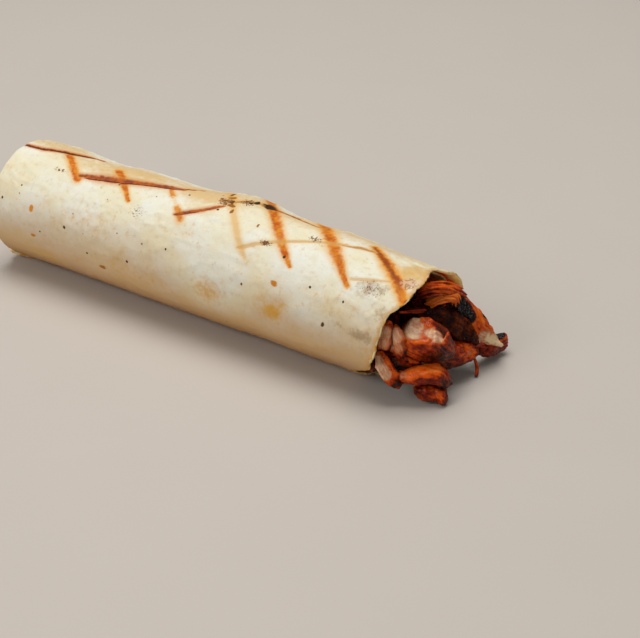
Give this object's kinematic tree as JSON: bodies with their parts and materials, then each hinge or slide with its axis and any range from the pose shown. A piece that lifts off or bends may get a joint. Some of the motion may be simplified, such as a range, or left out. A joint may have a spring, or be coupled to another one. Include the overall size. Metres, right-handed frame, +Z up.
{
  "type": "chicken kebab wrap",
  "caption": "Grilled flatbread rolled round a chicken filling, lying on its side, folded shut at one end, with charred chicken pieces spilling from the open end.",
  "frame": {"origin": "on the flat underside, below the middle of the flatbread roll's length", "axes": "+X along the roll towards its open end, +Z up, +Y away from the side that the picture shows"},
  "size_m": [0.2326, 0.0671, 0.0552],
  "materials": {
    "flatbread": "matt",
    "chicken_orange": "glossy",
    "chicken_pale": "semi-gloss",
    "chicken_charred": "glossy"
  },
  "bodies": {
    "root": {"flatbread": "flatbread", "filling_core": "chicken_charred", "chicken_chunk_middle": "chicken_pale", "chicken_strip_low": "chicken_orange", "chicken_strip_left": "chicken_pale", "chicken_piece_bottom": "chicken_orange", "chicken_chunk_right": "chicken_orange", "chicken_strip_charred": "chicken_charred", "chicken_strand_upper": "chicken_orange", "chicken_strand_inner": "chicken_orange", "chicken_strand_thin": "chicken_orange", "chicken_slice_rim": "chicken_pale", "chicken_slice_left": "chicken_pale", "chicken_nub_charred": "chicken_charred", "chicken_piece_dark": "chicken_charred", "chicken_bit_left": "chicken_orange", "chicken_bit_corner": "chicken_orange", "chicken_shred": "chicken_orange"}
  },
  "joints": []
}
